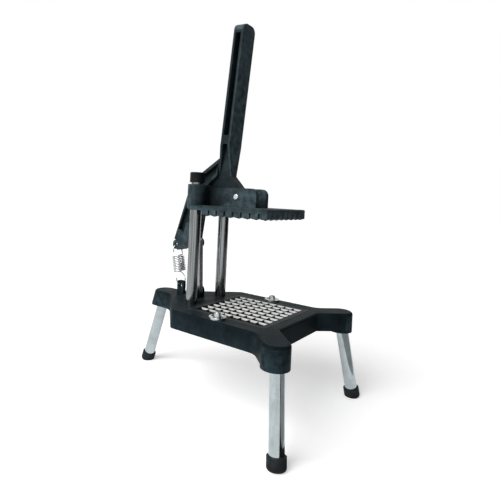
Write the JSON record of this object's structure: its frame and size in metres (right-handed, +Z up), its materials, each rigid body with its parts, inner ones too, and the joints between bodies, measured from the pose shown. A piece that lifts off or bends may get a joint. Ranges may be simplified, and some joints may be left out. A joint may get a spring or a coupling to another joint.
{
  "type": "french fry cutter",
  "caption": "Table-top lever press on splayed legs that drives a toothed block down chromed columns to push a potato through a square knife grid.",
  "frame": {"origin": "on the table in the middle plane, halfway between the front feet and the rear foot", "axes": "+Z up; the front, where the user stands, faces -Y; +X to the user's right"},
  "size_m": [0.178, 0.2469, 0.3928],
  "materials": {
    "black_casting": "satin black paint over a cast surface",
    "frame_casting": "satin black paint",
    "tooth_block": "satin black paint",
    "knife_steel": "bright rolled strip",
    "bright_zinc": "bright zinc plate",
    "chrome": "polished",
    "black_plastic": "moulded satin",
    "bush_bronze": "turned",
    "leg_tube": "drawn tube",
    "foot_rubber": "matt",
    "link_steel": "zinc plate",
    "spring_wire": "bright zinc plate"
  },
  "bodies": {
    "base": {"base_casting": "black_casting", "blade_frame": "frame_casting", "clamp_stud_left": "bright_zinc", "clamp_stud_right": "bright_zinc", "clamp_washer_left": "bright_zinc", "clamp_washer_right": "bright_zinc", "column_cap_left": "black_plastic", "column_cap_right": "black_plastic", "column_nut_left": "bright_zinc", "column_nut_right": "bright_zinc", "column_washer_left": "bright_zinc", "column_washer_right": "bright_zinc", "foot_cap_left": "foot_rubber", "foot_cap_rear": "foot_rubber", "foot_cap_right": "foot_rubber", "guide_column_left": "chrome", "guide_column_right": "chrome", "knives_crosswise": "knife_steel", "knives_lengthwise": "knife_steel", "leg_tube_left": "leg_tube", "leg_tube_rear": "leg_tube", "leg_tube_right": "leg_tube", "link_foot_pin": "bright_zinc"},
    "pusher": {"pusher_block": "tooth_block", "pusher_casting": "black_casting", "pusher_screws": "bright_zinc", "pivot_pin": "bright_zinc", "guide_bush_left": "bush_bronze", "guide_bush_right": "bush_bronze"},
    "lever": {"lever": "black_casting", "link_rivets": "bright_zinc"},
    "link": {"link_bar": "link_steel"},
    "spring": {"spring_coil": "spring_wire"},
    "spring_end": {"spring_hook": "spring_wire"},
    "clamp_nut_left": {"clamp_nut_left": "bright_zinc"},
    "clamp_nut_right": {"clamp_nut_right": "bright_zinc"}
  },
  "joints": [
    {"name": "pusher_slide", "type": "slide", "parent": "base", "child": "pusher", "axis": [0, 0, 1], "range_m": [-0.1005, 0], "stiffness_N_per_m": 150, "springref_m": 0.15},
    {"name": "lever_pivot", "type": "hinge", "parent": "pusher", "child": "lever", "pos_m": [0, -0.0165, 0.2073], "axis": [1, 0, 0], "range_deg": [0, 76.5]},
    {"name": "link_pivot", "type": "hinge", "parent": "base", "child": "link", "pos_m": [0, 0.0404, 0.098], "axis": [1, 0, 0], "range_deg": [-7.5, 0]},
    {"name": "spring_lean", "type": "hinge", "parent": "base", "child": "spring", "pos_m": [0, 0.065, 0.101], "axis": [1, 0, 0], "range_deg": [0, 13.5]},
    {"name": "spring_stretch", "type": "slide", "parent": "spring", "child": "spring_end", "axis": [0, 0.2165, 0.9763], "range_m": [0, 0.0345], "deforming": ["spring_coil", "spring_hook"]},
    {"name": "clamp_nut_left_turn", "type": "hinge", "parent": "base", "child": "clamp_nut_left", "pos_m": [-0.051, -0.0294, 0.095], "axis": [0, 0, 1], "continuous": true},
    {"name": "clamp_nut_right_turn", "type": "hinge", "parent": "base", "child": "clamp_nut_right", "pos_m": [0.051, -0.0294, 0.095], "axis": [0, 0, 1], "continuous": true}
  ],
  "couplings": [
    {"joint": "lever_pivot", "follows": "pusher_slide", "rad_per_m": -13.238},
    {"joint": "link_pivot", "follows": "pusher_slide", "rad_per_m": 1.2785},
    {"joint": "spring_lean", "follows": "pusher_slide", "rad_per_m": -2.3078},
    {"joint": "spring_stretch", "follows": "pusher_slide", "ratio": -0.33234}
  ]
}
